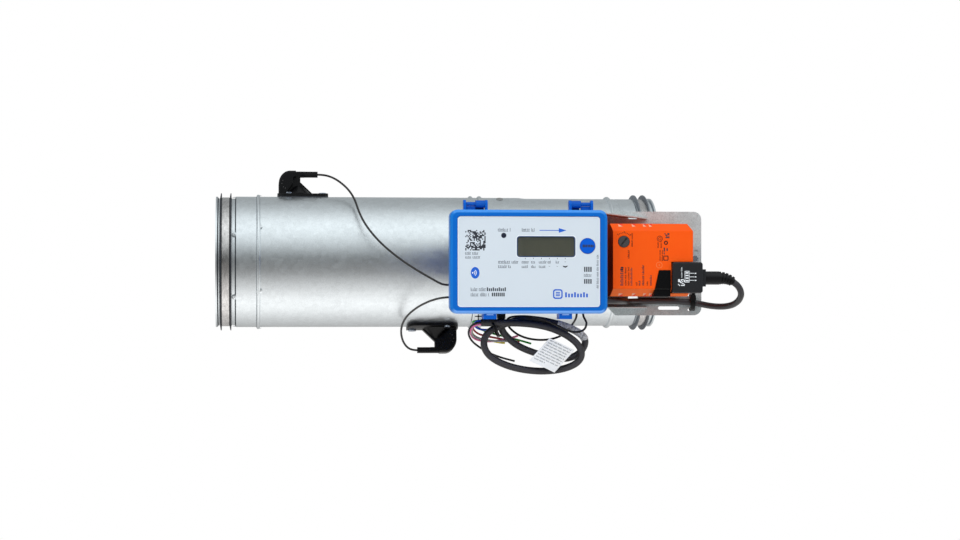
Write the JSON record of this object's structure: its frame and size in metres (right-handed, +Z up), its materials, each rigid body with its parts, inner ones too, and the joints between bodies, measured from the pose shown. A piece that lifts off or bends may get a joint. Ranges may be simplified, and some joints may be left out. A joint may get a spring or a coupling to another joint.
{
  "type": "airflow control damper",
  "caption": "Round duct airflow control damper: measuring tube with ultrasonic sensors, damper section with blade and actuator, and a controller box with hinged lid and cable.",
  "frame": {"origin": "on the duct axis at the inlet end of the measuring tube", "axes": "+X along the duct with the airflow, +Z up, -Y towards the controller's front"},
  "size_m": [0.4917, 0.234, 0.1943],
  "materials": {
    "galvanised_steel": "galvanised sheet",
    "gasket_rubber": "matt",
    "steel_strap": "rolled",
    "zinc_fastener": "zinc plated",
    "black_plastic": "fine grain",
    "blue_plastic": "satin",
    "orange_plastic": "satin",
    "panel_film": "printed film",
    "display_glass": "clear",
    "display_black": "matt",
    "lens_plastic": "clear dark",
    "circuit_green": "solder mask",
    "terminal_green": "moulded",
    "cable_sheath": "satin",
    "wire_insulation": "smooth",
    "tag_paper": "matt",
    "nylon_bush": "moulded"
  },
  "bodies": {
    "duct_unit": {"measuring_tube": "galvanised_steel", "damper_tube": "galvanised_steel", "inlet_gasket": "gasket_rubber", "outlet_gasket": "gasket_rubber", "inlet_gasket_strap": "steel_strap", "outlet_gasket_strap": "steel_strap", "top_sensor_seal": "gasket_rubber", "bottom_sensor_seal": "gasket_rubber", "top_sensor_housing": "black_plastic", "bottom_sensor_housing": "black_plastic", "top_transducer": "black_plastic", "bottom_transducer": "black_plastic", "top_sensor_boot": "black_plastic", "bottom_sensor_boot": "black_plastic", "sensor_screws": "zinc_fastener", "front_shaft_bush": "nylon_bush", "rear_shaft_bush": "nylon_bush", "plate_saddles": "galvanised_steel", "blind_rivets": "zinc_fastener", "mounting_plate": "galvanised_steel", "controller_shelf": "galvanised_steel", "controller_base": "blue_plastic", "controller_screws": "zinc_fastener", "cable_glands": "black_plastic", "circuit_board": "circuit_green", "terminal_blocks": "terminal_green", "hinge_pins": "blue_plastic", "actuator_base": "black_plastic", "actuator_housing": "orange_plastic", "anti_rotation_tab": "galvanised_steel", "tab_screw": "zinc_fastener", "plug_housing": "black_plastic", "plug_boot": "black_plastic", "top_sensor_cable": "cable_sheath", "bottom_sensor_cable": "cable_sheath", "actuator_cable": "cable_sheath", "signal_cable": "cable_sheath", "supply_lead": "cable_sheath", "supply_tail": "cable_sheath", "supply_coil": "cable_sheath", "lead_wires": "wire_insulation", "cable_ties": "black_plastic", "cable_tag": "tag_paper"},
    "blade": {"blade_upper_disc": "galvanised_steel", "blade_lower_disc": "galvanised_steel", "blade_seal": "gasket_rubber", "blade_rivets": "zinc_fastener", "blade_shaft": "zinc_fastener", "shaft_clamp": "zinc_fastener", "clamp_bolt": "zinc_fastener"},
    "lid": {"lid_frame": "blue_plastic", "lid_panel": "panel_film", "lid_gasket": "gasket_rubber", "display_window": "display_glass", "display_module": "display_black", "status_lens": "lens_plastic"},
    "mode_key": {"mode_button": "blue_plastic"},
    "direction_switch": {"direction_knob": "black_plastic"},
    "gear_release": {"release_button": "black_plastic"}
  },
  "joints": [
    {"name": "blade_turn", "type": "hinge", "parent": "duct_unit", "child": "blade", "pos_m": [0.342, 0, 0], "axis": [0, 1, 0], "range_deg": [0, 90]},
    {"name": "lid_open", "type": "hinge", "parent": "duct_unit", "child": "lid", "pos_m": [0.284, -0.158, 0.0504], "axis": [-1, 0, 0], "range_deg": [0, 110]},
    {"name": "mode_press", "type": "slide", "parent": "lid", "child": "mode_key", "axis": [0, 1, 0], "range_m": [0, 0.0008], "stiffness_N_per_m": 800, "springref_m": -0.0002},
    {"name": "direction_turn", "type": "hinge", "parent": "duct_unit", "child": "direction_switch", "pos_m": [0.3757, -0.136, 0.017], "axis": [0, 1, 0], "range_deg": [0, 90]},
    {"name": "release_press", "type": "slide", "parent": "duct_unit", "child": "gear_release", "axis": [0, 1, 0], "range_m": [0, 0.002], "stiffness_N_per_m": 900, "springref_m": -0.0005}
  ]
}
